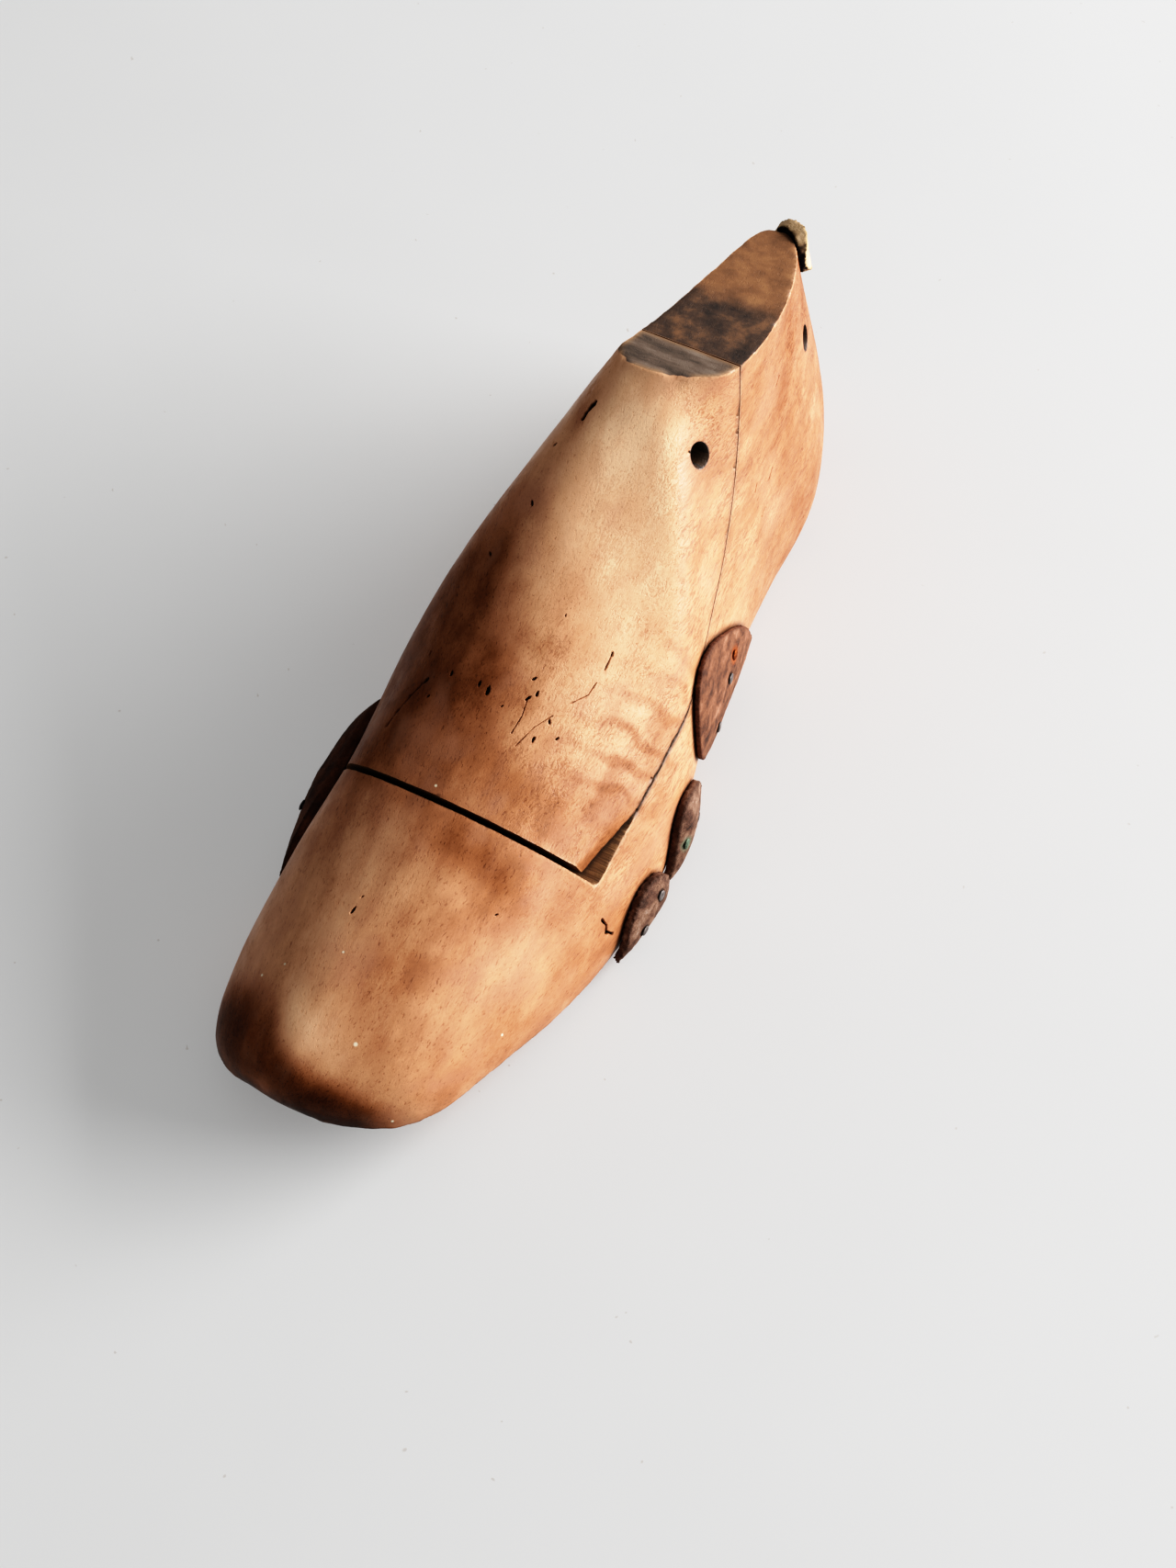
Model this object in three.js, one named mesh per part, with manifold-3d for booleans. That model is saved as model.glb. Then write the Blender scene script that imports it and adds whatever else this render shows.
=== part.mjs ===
// Shoe last for a left foot: a maple foot form with a removable scoop block over the instep, leather
// build-up pads tacked to its sides and heel, and the locating pin and spring catch that hold the block.
//
// Millimetres. +X runs from heel to toe, +Y towards the outer (little-toe) side, +Z up.
// The origin is the centre of the heel seat, on the plane the last stands on.

import * as THREE from "three";
import { mergeVertices } from "three/addons/utils/BufferGeometryUtils.js";
import Module from "manifold-3d";

const wasm = await Module();
wasm.setup();

// ---------------------------------------------------------------- driving dimensions

const GAP = 0.3; // clearance kept between neighbouring pieces
const PAD_GAP = 0.5; // clearance under a pad, more because both faces there are faceted
const CONE_TOP_Z = 84.4; // height of the cone's flat top above the heel seat's centre
const CONE_TOP_SLOPE = Math.tan(THREE.MathUtils.degToRad(14.4)); // the top rises towards the toe
const SOLE_CROWN = 0.06; // the sole bellies down by this share of its width
const RIDGE_START = 6; // rib at which the cone's top ends and the instep ridge begins

const HOOK_HOLE_R = 3.2; // quarter-inch cross holes that take the pulling hook
const BLOCK_HOOK_HOLE = { x: 56.7, z: 80.5 };
const HEEL_HOOK_HOLE = { x: -6.1, z: 61.9 };

// The scoop is one saw cut across the last: a sloping seat that turns up into an arc.
const SCOOP_CENTRE = { x: 102.2, z: 103.7 };
const SCOOP_R = 64.8;
const SEAT_SLOPE = THREE.MathUtils.degToRad(13.7); // the seat rises towards the heel
const SEAT_FRONT_X = 145.2; // where the seat meets the front cut
const FRONT_CUT_LEAN = THREE.MathUtils.degToRad(20); // the front cut stands square to the vamp
const FRONT_KERF = 1.3; // open saw kerf at the front cut
const ABOVE_LAST_Z = 130;

const PIN_X = 103; // the locating pin stands square to the seat, on the centre line
const PIN_R = 4;
const PIN_GROOVE_R = 3.2;
const PIN_FLANGE_R = 7;
const PIN_FLANGE_H = 1.5;
const PIN_SHANK_R = 2.8;
const PIN_SHANK_DEPTH = 20;
const PIN_HEIGHT = 16;
const PIN_BORE_R = 4.3;
const PIN_BORE_DEPTH = 17.5;

const PLATE = { length: 34, width: 16, thickness: 1.2, corner: 4 };
const PLATE_SCREW_OFFSET = 13;
const SCREW = { headR: 2.6, headH: 1.6, shankR: 1.2, length: 10, slotWidth: 0.7, slotDepth: 0.7 };
const SPRING_WIRE_R = 0.6;
const SPRING_LEG_OFFSET = 3.9; // each leg lies in the pin's groove
const SPRING_REACH = 8;

const TACK = { headR: 1.5, headH: 0.7, shankR: 0.55, length: 9, point: 2 };

const PROFILE_STEPS = 12; // rows of faces from feather edge to ridge
const SPAN_STEPS = 4; // columns of faces between two ribs
const SOLE_STEPS = 4; // rows of faces across the sole

// ---------------------------------------------------------------- ribs of the foot form

// A rib is a cubic curve from the feather edge of the sole up to the cone's top or the ridge.
// low is how far the curve first swings out and up. high is how far from outside, below and, near the
// cone's front, ahead it arrives.
const rib = (foot, low, high, top) => ({ foot, low, high, top });

// The ribs of the cone run on past its top, where the saw cuts them off level.
const onCone = (x, y, spare = 3) => [x, y, CONE_TOP_Z + CONE_TOP_SLOPE * x + spare];

const RIDGE = [
  [46, -2, 101],
  [60, -5.3, 93.6],
  [79.5, -9.5, 83.4],
  [110, -11.2, 67.3],
  [140.5, -12, 54.4],
  [171, -11, 43.8],
  [194, -11, 37.3],
  [208.5, -11, 33],
];

const HEEL_RIB = rib([-32, 0, 2], [16, 16], [7, 36], onCone(-22.2, 1.5));
const TOE_RIB = rib([225.4, -13.6, 15], [3, 10], [12, 3.5], RIDGE[7]);

const OUTER_RIBS = [
  rib([-22, 15, 2], [11, 16], [7, 36], onCone(-16.3, 8.6)),
  rib([1.5, 27, 2], [7.5, 17.5], [5.5, 36], onCone(3, 14.9)),
  rib([32.5, 28.3, 3], [7.5, 18], [3.5, 36], onCone(26, 17.5)),
  rib([61.5, 30.3, 5], [8, 18], [6.4, 35], onCone(42.5, 15)),
  rib([89.5, 33.8, 5], [8, 18], [11, 26, 11.5], [46, 6, 103.5]),
  rib([114, 39.5, 3], [7, 18], [14, 4, 14], RIDGE[0]),
  rib([126, 40.7, 2.3], [6.5, 17.5], [16.4, 4, 6], RIDGE[1]),
  rib([138, 41, 2], [6, 17], [20, 4], RIDGE[2]),
  rib([164, 37.5, 4], [5, 15], [20, 1.5], RIDGE[3]),
  rib([190.5, 30, 8], [4, 12], [20, 1.5], RIDGE[4]),
  rib([214.8, 19.9, 11.5], [3, 10], [16, 1.5], RIDGE[5]),
  rib([225, 1.8, 14], [3, 10], [14, 2.9], RIDGE[6]),
];

const INNER_RIBS = [
  rib([-22.5, -15, 2], [11, 16], [6, 36], onCone(-15.5, -2.4)),
  rib([0, -24.5, 2], [7.5, 18], [4, 36], onCone(5, -4.7)),
  rib([31.5, -21.5, 5], [8, 18], [4, 36], onCone(27, -7.2)),
  rib([61, -20, 9], [8, 18], [9, 33], onCone(41.5, -9)),
  rib([89, -24.5, 8], [9, 19], [17, 26.5, 12.5], [45.5, -7.5, 103.5]),
  rib([116, -33.4, 5], [8, 19], [21, 6, 17], RIDGE[0]),
  rib([128.5, -35.8, 3.9], [6.7, 18], [20.5, 3.6, 8], RIDGE[1]),
  rib([141, -37.2, 3], [5.5, 17], [22.5, 2], RIDGE[2]),
  rib([166.4, -37.7, 4], [3.7, 14.7], [18, 0.7], RIDGE[3]),
  rib([192, -37.8, 8], [4, 12], [18, 0.3], RIDGE[4]),
  rib([213, -35.2, 11], [2.4, 10], [14.5, 1.3], RIDGE[5]),
  rib([223, -26.7, 14], [2.6, 10], [12, 2.4], RIDGE[6]),
];

// The ribs as one loop: heel, outer side, toe, inner side. A place on the wall is (s, t), where s
// counts ribs round that loop (negative on the inner side) and t runs from feather edge to ridge.
const RIBS = [HEEL_RIB, ...OUTER_RIBS, TOE_RIB, ...INNER_RIBS.toReversed()];
const TOE_INDEX = OUTER_RIBS.length + 1;

const vector = (p) => new THREE.Vector3(...p);
const loopThrough = (points) => new THREE.CatmullRomCurve3(points, true, "catmullrom", 0.5);
const onLoop = (curve, s) => curve.getPoint(THREE.MathUtils.euclideanModulo(s / RIBS.length, 1));

function makeWallCurves() {
  const feet = RIBS.map((r) => vector(r.foot));
  const tops = RIBS.map((r) => vector(r.top));
  const outward = feet.map((_, i) => {
    const before = feet.at(i - 1);
    const after = feet[(i + 1) % feet.length];
    return vector([before.y - after.y, after.x - before.x, 0]).normalize();
  });
  const swing = (points, end, sign) => points.map((p, i) => {
    const [out, rise, forward = 0] = RIBS[i][end];
    return p.clone().addScaledVector(outward[i], out).add(vector([forward, 0, sign * rise]));
  });
  return [feet, swing(feet, "low", 1), swing(tops, "high", -1), tops].map(loopThrough);
}

const [FEATHER_EDGE, LOW_CONTROL, HIGH_CONTROL, TOP_EDGE] = makeWallCurves();

// Along the ridge the two sides end on the same curve.
function topPoint(s) {
  const top = onLoop(TOP_EDGE, s);
  const fromHeel = Math.min(Math.abs(s), RIBS.length - Math.abs(s));
  return fromHeel < RIDGE_START ? top : top.lerp(onLoop(TOP_EDGE, -s), 0.5);
}

function wallPoint(s, t) {
  return new THREE.CubicBezierCurve3(
    onLoop(FEATHER_EDGE, s),
    onLoop(LOW_CONTROL, s),
    onLoop(HIGH_CONTROL, s),
    topPoint(s),
  ).getPoint(t);
}

function wallNormal(s, t) {
  const step = 0.01;
  const along = wallPoint(s + step, t).sub(wallPoint(s - step, t));
  const up = wallPoint(s, t + step).sub(wallPoint(s, t - step));
  return up.cross(along).normalize();
}

// ---------------------------------------------------------------- solids

const toSolid = (geometry) => {
  const bare = new THREE.BufferGeometry().setAttribute(
    "position",
    (geometry.index ? geometry.toNonIndexed() : geometry).getAttribute("position"),
  );
  const merged = mergeVertices(bare, 1e-3);
  const corners = [...merged.index.array];
  const faces = [];
  for (let i = 0; i < corners.length; i += 3) {
    const [a, b, c] = corners.slice(i, i + 3);
    if (a !== b && b !== c && c !== a) faces.push(a, b, c);
  }
  return new wasm.Manifold(
    new wasm.Mesh({
      numProp: 3,
      vertProperties: merged.attributes.position.array,
      triVerts: new Uint32Array(faces),
    }),
  );
};

const solidFromQuads = (quads) => {
  const halves = ([a, b, c, d]) =>
    a.distanceTo(c) < b.distanceTo(d) ? [a, b, c, a, c, d] : [b, c, d, b, d, a];
  const positions = quads.flatMap(halves).flatMap((p) => p.toArray());
  const geometry = new THREE.BufferGeometry();
  return toSolid(geometry.setAttribute("position", new THREE.Float32BufferAttribute(positions, 3)));
};

const moved = (geometry, matrix) => geometry.clone().applyMatrix4(matrix);

// A closed outline in X and Z, extruded across the whole last.
function acrossLast(shape, width = 200) {
  const geometry = new THREE.ExtrudeGeometry(shape, { depth: width, bevelEnabled: false, curveSegments: 24 });
  return toSolid(geometry.rotateX(Math.PI / 2).translate(0, width / 2, 0));
}

const crossHole = ({ x, z }) =>
  toSolid(new THREE.CylinderGeometry(HOOK_HOLE_R, HOOK_HOLE_R, 120, 24).translate(x, 0, z));

// The whole foot form, before the block is sawn out of it.
function footForm() {
  const columns = RIBS.length * SPAN_STEPS;
  const toeColumn = TOE_INDEX * SPAN_STEPS;
  const coneColumn = RIDGE_START * SPAN_STEPS;
  const at = (i, j) => {
    const half = columns / 2;
    const s = (i > half ? i - columns : i) / SPAN_STEPS;
    return wallPoint(s, j / PROFILE_STEPS);
  };
  const soleAt = (i, k) => {
    const share = k / SOLE_STEPS;
    const across = at((columns - i) % columns, 0);
    const crown = SOLE_CROWN * at(i, 0).distanceTo(across);
    return at(i, 0).lerp(across, share).add(vector([0, 0, -crown * 4 * share * (1 - share)]));
  };
  const quads = [];
  for (let i = 0; i < columns; i++)
    for (let j = 0; j < PROFILE_STEPS; j++)
      quads.push([at(i, j), at(i, j + 1), at((i + 1) % columns, j + 1), at((i + 1) % columns, j)]);
  for (let i = 0; i < toeColumn; i++)
    for (let k = 0; k < SOLE_STEPS; k++)
      quads.push([soleAt(i, k), soleAt(i + 1, k), soleAt(i + 1, k + 1), soleAt(i, k + 1)]);
  for (let i = 0; i < coneColumn; i++) {
    const [a, b] = [columns - i, columns - i - 1].map((n) => at(n % columns, PROFILE_STEPS));
    quads.push([at(i, PROFILE_STEPS), a, b, at(i + 1, PROFILE_STEPS)]);
  }
  const waste = 40;
  const belowRest = new THREE.BoxGeometry(600, 300, waste).translate(0, 0, -waste / 2);
  const aboveCone = new THREE.BoxGeometry(200, 100, waste)
    .translate(0, 0, waste / 2)
    .rotateY(-Math.atan(CONE_TOP_SLOPE))
    .translate(0, 0, CONE_TOP_Z);
  return solidFromQuads(quads).subtract(toSolid(belowRest)).subtract(toSolid(aboveCone));
}

// ---------------------------------------------------------------- the saw cuts

const seatZ = (x) => {
  const tangentX = SCOOP_CENTRE.x - SCOOP_R * Math.sin(SEAT_SLOPE);
  const tangentZ = SCOOP_CENTRE.z - SCOOP_R * Math.cos(SEAT_SLOPE);
  return tangentZ - (x - tangentX) * Math.tan(SEAT_SLOPE);
};

// The block's side outline, with the seat let down by seatGap and the front cut moved on by kerf.
function blockOutline(seatGap, kerf) {
  const radius = SCOOP_R + seatGap;
  const lean = Math.tan(FRONT_CUT_LEAN);
  const frontX = SEAT_FRONT_X + kerf / Math.cos(FRONT_CUT_LEAN);
  const seatAtFront = seatZ(frontX) - seatGap / Math.cos(SEAT_SLOPE);
  const tangentAngle = -Math.PI / 2 - SEAT_SLOPE;
  const shape = new THREE.Shape();
  shape.moveTo(frontX + (ABOVE_LAST_Z - seatAtFront) * lean, ABOVE_LAST_Z);
  shape.lineTo(SCOOP_CENTRE.x - radius, ABOVE_LAST_Z);
  shape.lineTo(SCOOP_CENTRE.x - radius, SCOOP_CENTRE.z);
  shape.absarc(SCOOP_CENTRE.x, SCOOP_CENTRE.z, radius, -Math.PI, tangentAngle, false);
  shape.lineTo(frontX, seatAtFront);
  shape.closePath();
  return shape;
}

// The block's thin outer front corner has broken away, which bares the seat below it. The break runs
// through BREAK, and everything outside it is gone.
const BREAK = [[149, 27.4], [139, 29.8], [125, 34]];

function brokenCorner() {
  const [frontX, outerY] = [165, 60];
  const shape = new THREE.Shape();
  shape.moveTo(frontX, BREAK[0][1]);
  for (const [x, y] of BREAK) shape.lineTo(x, y);
  shape.lineTo(BREAK.at(-1)[0], outerY);
  shape.lineTo(frontX, outerY);
  shape.closePath();
  return toSolid(new THREE.ExtrudeGeometry(shape, { depth: ABOVE_LAST_Z, bevelEnabled: false }));
}

// ---------------------------------------------------------------- the block's catch

// Frame of the locating pin: origin on the seat, local +Z square to the seat, local +X towards the toe.
const PIN_FRAME = new THREE.Matrix4()
  .makeTranslation(PIN_X, 0, seatZ(PIN_X))
  .multiply(new THREE.Matrix4().makeRotationY(SEAT_SLOPE));

const PLATE_Z = 0.4; // the plate's face is let in just above the seat
const PLATE_POCKET_TOP = PLATE_Z + PLATE.thickness + GAP;
const SPRING_Z = PLATE_POCKET_TOP + GAP + SPRING_WIRE_R;
const SPRING_POCKET_TOP = SPRING_Z + SPRING_WIRE_R + GAP;

// Turns a profile of [radius, height] points, standing on its own local +Z.
function turned(profile, segments = 16) {
  const points = profile.map(([r, z]) => new THREE.Vector2(r, z));
  return new THREE.LatheGeometry(points, segments).rotateX(Math.PI / 2);
}

function drilled(radius, from, to, segments = 20) {
  return new THREE.CylinderGeometry(radius, radius, to - from, segments)
    .rotateX(Math.PI / 2)
    .translate(0, 0, (from + to) / 2);
}

function roundedPlate(length, width, corner, from, to) {
  const [x, y] = [length / 2, width / 2];
  const shape = new THREE.Shape();
  shape.moveTo(-x + corner, -y);
  shape.absarc(x - corner, -y + corner, corner, -Math.PI / 2, 0, false);
  shape.absarc(x - corner, y - corner, corner, 0, Math.PI / 2, false);
  shape.absarc(-x + corner, y - corner, corner, Math.PI / 2, Math.PI, false);
  shape.absarc(-x + corner, -y + corner, corner, Math.PI, 1.5 * Math.PI, false);
  const options = { depth: to - from, bevelEnabled: false, curveSegments: 5 };
  return new THREE.ExtrudeGeometry(shape, options).translate(0, 0, from);
}

// A flanged steel pin: its shank is driven into the body, its grooved post stands up into the block.
function locatingPin() {
  const grooveFrom = SPRING_Z - 1;
  const grooveTo = SPRING_Z + 1;
  return turned([
    [0, -PIN_SHANK_DEPTH],
    [PIN_SHANK_R * 0.4, -PIN_SHANK_DEPTH + 1.5],
    [PIN_SHANK_R, -PIN_SHANK_DEPTH + 4],
    [PIN_SHANK_R, -PIN_FLANGE_H],
    [PIN_FLANGE_R, -PIN_FLANGE_H],
    [PIN_FLANGE_R, 0],
    [PIN_R, 0],
    [PIN_R, grooveFrom],
    [PIN_GROOVE_R, grooveFrom + 0.3],
    [PIN_GROOVE_R, grooveTo - 0.3],
    [PIN_R, grooveTo],
    [PIN_R, PIN_HEIGHT - 3],
    [PIN_R * 0.8, PIN_HEIGHT - 1],
    [PIN_R * 0.4, PIN_HEIGHT],
    [0, PIN_HEIGHT],
  ], 20);
}

function pinSocketInBody() {
  return turned([
    [0, -PIN_SHANK_DEPTH - GAP],
    [PIN_SHANK_R + GAP, -PIN_SHANK_DEPTH - GAP],
    [PIN_SHANK_R + GAP, -PIN_FLANGE_H - GAP],
    [PIN_FLANGE_R + GAP, -PIN_FLANGE_H - GAP],
    [PIN_FLANGE_R + GAP, 2],
    [0, 2],
  ], 20);
}

const screwSpots = [-PLATE_SCREW_OFFSET, PLATE_SCREW_OFFSET];

function plateSolid() {
  const { length, width, corner, thickness } = PLATE;
  const blank = toSolid(roundedPlate(length, width, corner, PLATE_Z, PLATE_Z + thickness));
  const pinHole = toSolid(drilled(PIN_BORE_R, PLATE_Z - 1, PLATE_Z + thickness + 1));
  return screwSpots.reduce((plate, x) => {
    const seat = [
      [0, PLATE_Z - 1],
      [SCREW.headR + GAP, PLATE_Z - 1],
      [SCREW.headR + GAP, PLATE_Z],
      [SCREW.shankR + GAP, PLATE_Z + thickness + 0.2],
      [0, PLATE_Z + thickness + 0.2],
    ];
    return plate.subtract(toSolid(turned(seat).translate(x, 0, 0)));
  }, blank.subtract(pinHole));
}

// A slotted countersunk wood screw, head down, flush with the plate's face.
function screwSolid() {
  const { headR, headH, shankR, length, slotWidth, slotDepth } = SCREW;
  const body = toSolid(turned([
    [0, PLATE_Z],
    [headR - 0.2, PLATE_Z],
    [shankR, PLATE_Z + headH],
    [shankR, PLATE_Z + length - 3],
    [0, PLATE_Z + length],
  ]));
  const slot = new THREE.BoxGeometry(3 * headR, slotWidth, 2 * slotDepth).translate(0, 0, PLATE_Z);
  return body.subtract(toSolid(slot));
}

// Everything hollowed out of the block's underside to take the plate, screws, spring and pin.
function catchPocket() {
  const { length, width, corner } = PLATE;
  const bore = toSolid(drilled(PIN_BORE_R, -1, PIN_BORE_DEPTH));
  const springPocket = roundedPlate(2 * SPRING_REACH + 5, 12, 3, 0, SPRING_POCKET_TOP);
  const platePocket = roundedPlate(length + 2 * GAP, width + 2 * GAP, corner, -3, PLATE_POCKET_TOP);
  const screwHoles = screwSpots.map((x) =>
    toSolid(drilled(SCREW.shankR + GAP, 0, SCREW.length + 1.5, 12).translate(x, 0, 0)),
  );
  return [toSolid(springPocket), toSolid(platePocket), ...screwHoles].reduce((a, b) => a.add(b), bore);
}

// Hairpin of spring wire whose two legs straddle the pin and drop into its groove.
function catchSpring() {
  const [reach, leg] = [SPRING_REACH, SPRING_LEG_OFFSET];
  const path = new THREE.CurvePath();
  const bendStart = reach - leg;
  path.add(new THREE.LineCurve3(vector([-reach, leg, 0]), vector([bendStart, leg, 0])));
  const bend = new THREE.CatmullRomCurve3(
    [0, 30, 60, 90, 120, 150, 180].map((deg) => {
      const a = THREE.MathUtils.degToRad(90 - deg);
      return vector([bendStart + leg * Math.cos(a), leg * Math.sin(a), 0]);
    }),
  );
  path.add(bend);
  path.add(new THREE.LineCurve3(vector([bendStart, -leg, 0]), vector([-reach, -leg, 0])));
  const wire = new THREE.Shape().absarc(0, 0, SPRING_WIRE_R, 0, 2 * Math.PI);
  const options = { steps: 26, extrudePath: path, curveSegments: 4, bevelEnabled: false };
  return new THREE.ExtrudeGeometry(wire, options).translate(0, 0, SPRING_Z);
}

// ---------------------------------------------------------------- leather pads and their tacks

// A pad lies on the wall inside an outline of (s, t) places, which runs clockwise when s is drawn to
// the right and t upwards. It is skived: thick in the middle and thin at its edge, or thin only at its
// two ends, skiveReach ribs away. Above PAD_WALL_END a pad leaves the wall and goes straight up.
// A place in a pad is how far round the outline it lies, 0 to 1, and its share of the way from middle
// to edge.
const PADS = {
  waist_pad: {
    outline: [
      [3.75, 0.03], [3.95, 0.22], [4.4, 0.34], [5.2, 0.4],
      [5.85, 0.37], [5.7, 0.24], [5.2, 0.11], [4.95, 0.03],
    ],
    thick: 2.4,
    edge: 1,
    tacks: [[0.25, 0.32], [0.25, 0.64], [0.8, 0.4]],
  },
  ball_pad_rear: {
    outline: [
      [5.5, 0.03], [5.6, 0.13], [5.87, 0.19], [6.4, 0.215],
      [6.84, 0.19], [6.96, 0.1], [6.9, 0.02],
    ],
    thick: 3,
    edge: 1.4,
    tacks: [[0.66, 0.48], [0.05, 0.5]],
  },
  ball_pad_front: {
    outline: [
      [7.28, 0.02], [7.34, 0.1], [7.84, 0.17], [8.2, 0.185],
      [8.42, 0.14], [8.47, 0.06], [8.46, 0.01],
    ],
    thick: 2.8,
    edge: 1.6,
    tacks: [[0.26, 0.42], [0.8, 0.4]],
  },
  bunion_pad: {
    outline: [
      [-6.5, 0.08], [-8.2, 0.03], [-9, 0.04], [-9.35, 0.12], [-9.4, 0.28],
      [-9.2, 0.35], [-8.9, 0.33], [-8.4, 0.3], [-7.6, 0.27], [-6.7, 0.2],
    ],
    thick: 6.8,
    edge: 2.2,
    tacks: [[0, 0.1], [0.95, 0.6], [0.4, 0.55]],
  },
  heel_pad: {
    outline: [
      [-0.15, 0.93], [0, 0.97], [0.3, 0.985], [0.7, 0.98], [0.96, 0.95],
      [1.04, 0.92], [0.96, 0.89], [0.7, 0.85], [0.3, 0.83], [0, 0.86],
    ],
    thick: 3.4,
    edge: 0.8,
    skiveReach: 0.6,
    tacks: [[0.75, 0.45], [0.95, 0.45]],
  },
};
const PAD_RISE = 85; // millimetres of height for one whole t, above the cone's top
const PAD_WALL_END = 0.97;
const PAD_RINGS = 4;
const PAD_SIDES_PER_POINT = 3;

function padPoint([s, t], lift) {
  const onWall = Math.min(t, PAD_WALL_END);
  const rise = vector([0, 0, (t - onWall) * PAD_RISE]);
  return wallPoint(s, onWall).addScaledVector(wallNormal(s, onWall), lift).add(rise);
}

function padPlace({ outline }, round, r) {
  const [middleS, middleT] = [0, 1].map((axis) => {
    return outline.reduce((sum, place) => sum + place[axis], 0) / outline.length;
  });
  const edge = loopThrough(outline.map(([s, t]) => vector([s, t, 0]))).getPoint(round % 1);
  return [middleS + (edge.x - middleS) * r, middleT + (edge.y - middleT) * r];
}

function padFace(pad, round, r) {
  const place = padPlace(pad, round, r);
  const middleS = padPlace(pad, round, 0)[0];
  const outness = pad.skiveReach ? Math.min(1, Math.abs(place[0] - middleS) / pad.skiveReach) : r;
  return padPoint(place, PAD_GAP + pad.edge + (pad.thick - pad.edge) * (1 - outness ** 2.2));
}

function padSolid(pad) {
  const sides = pad.outline.length * PAD_SIDES_PER_POINT;
  const face = (k, ring) => padFace(pad, k / sides, ring / PAD_RINGS);
  const back = (k, ring) => padPoint(padPlace(pad, k / sides, ring / PAD_RINGS), PAD_GAP);
  const quads = [];
  for (let k = 0; k < sides; k++) {
    for (let ring = 0; ring < PAD_RINGS; ring++) {
      const around = [[k, ring], [k, ring + 1], [k + 1, ring + 1], [k + 1, ring]];
      quads.push(around.map(([i, j]) => face(i, j)));
      quads.push(around.toReversed().map(([i, j]) => back(i, j)));
    }
    quads.push([face(k, PAD_RINGS), back(k, PAD_RINGS), back(k + 1, PAD_RINGS), face(k + 1, PAD_RINGS)]);
  }
  return solidFromQuads(quads);
}

// Frame of a tack: origin on the pad's face, local +Z out of the wall.
function tackFrame(pad, [round, r]) {
  const outward = wallNormal(...padPlace(pad, round, r));
  const turn = new THREE.Quaternion().setFromUnitVectors(vector([0, 0, 1]), outward);
  return new THREE.Matrix4().compose(padFace(pad, round, r), turn, vector([1, 1, 1]));
}

function tackGeometry() {
  const { headR, headH, shankR, length, point } = TACK;
  return turned([
    [0, -length],
    [shankR, -length + point],
    [shankR, GAP],
    [headR, GAP],
    [headR * 0.85, GAP + headH * 0.6],
    [headR * 0.4, GAP + headH],
    [0, GAP + headH],
  ], 10);
}

// The hole runs from below the tack's point to above its head.
const tackHole = () => drilled(TACK.shankR + GAP, -TACK.length - GAP, TACK.headH + 2, 8);

// ---------------------------------------------------------------- materials

const material = (color, roughness, metalness = 0) =>
  new THREE.MeshStandardMaterial({ color, roughness, metalness });

const MATERIALS = {
  wood: material(0xb98d5f, 0.45),
  leather: material(0x6b4530, 0.8),
  darkLeather: material(0x2a211c, 0.7),
  tackSteel: material(0x6d6862, 0.5, 0.9),
  pinSteel: material(0x8c8f92, 0.35, 1),
  brass: material(0xa98a4a, 0.4, 1),
};

// ---------------------------------------------------------------- assembly

const last = new THREE.Group();

function addPiece(name, shape, look, frame) {
  const solid = shape.isBufferGeometry ? toSolid(shape) : shape;
  const { vertProperties, triVerts } = solid.getMesh();
  const geometry = new THREE.BufferGeometry();
  geometry.setAttribute("position", new THREE.Float32BufferAttribute(vertProperties, 3));
  geometry.setIndex(new THREE.BufferAttribute(triVerts, 1));
  geometry.computeVertexNormals();
  const mesh = new THREE.Mesh(geometry, look);
  mesh.name = name;
  if (frame) mesh.applyMatrix4(frame);
  last.add(mesh);
}

const cutBy = (solid, tools) => tools.reduce((a, b) => a.subtract(b), solid);
const inPinFrame = (geometry) => toSolid(moved(geometry, PIN_FRAME));

const tacks = Object.entries(PADS).flatMap(([padName, pad]) =>
  pad.tacks.map((spot, i) => ({
    name: `${padName}_tack_${i + 1}`,
    padName,
    frame: tackFrame(pad, spot),
  })),
);
const tackHolesIn = (padName) =>
  tacks.filter((t) => !padName || t.padName === padName).map((t) => toSolid(moved(tackHole(), t.frame)));

const form = footForm();

addPiece(
  "last_body",
  cutBy(form, [
    acrossLast(blockOutline(GAP, FRONT_KERF)),
    crossHole(HEEL_HOOK_HOLE),
    inPinFrame(pinSocketInBody()),
    ...tackHolesIn(),
  ]),
  MATERIALS.wood,
);

const blockPocket = catchPocket().transform(PIN_FRAME.toArray());
addPiece(
  "instep_block",
  cutBy(form.intersect(acrossLast(blockOutline(0, 0))), [
    crossHole(BLOCK_HOOK_HOLE),
    brokenCorner(),
    blockPocket,
  ]),
  MATERIALS.wood,
);

addPiece("locating_pin", locatingPin(), MATERIALS.pinSteel, PIN_FRAME);
addPiece("block_plate", plateSolid(), MATERIALS.brass, PIN_FRAME);
addPiece("catch_spring", catchSpring(), MATERIALS.pinSteel, PIN_FRAME);
for (const [i, name] of ["plate_screw_rear", "plate_screw_front"].entries()) {
  const alongPlate = new THREE.Matrix4().makeTranslation(screwSpots[i], 0, 0);
  addPiece(name, screwSolid(), MATERIALS.brass, PIN_FRAME.clone().multiply(alongPlate));
}

for (const [name, pad] of Object.entries(PADS)) {
  const look = name === "heel_pad" ? MATERIALS.darkLeather : MATERIALS.leather;
  addPiece(name, cutBy(padSolid(pad), tackHolesIn(name)), look);
}
for (const tack of tacks) addPiece(tack.name, tackGeometry(), MATERIALS.tackSteel, tack.frame);

export default last;
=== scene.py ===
"""Looks for a shoemaker's last: worn maple, tacked leather pads and the metal catch inside the block.

Places are in millimetres in the row frame: +X heel to toe, +Y to the outer side, +Z up.
"""

import math

import bmesh
import bpy
import numpy as np
from mathutils import Matrix, Vector, noise
from mathutils.bvhtree import BVHTree


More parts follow.
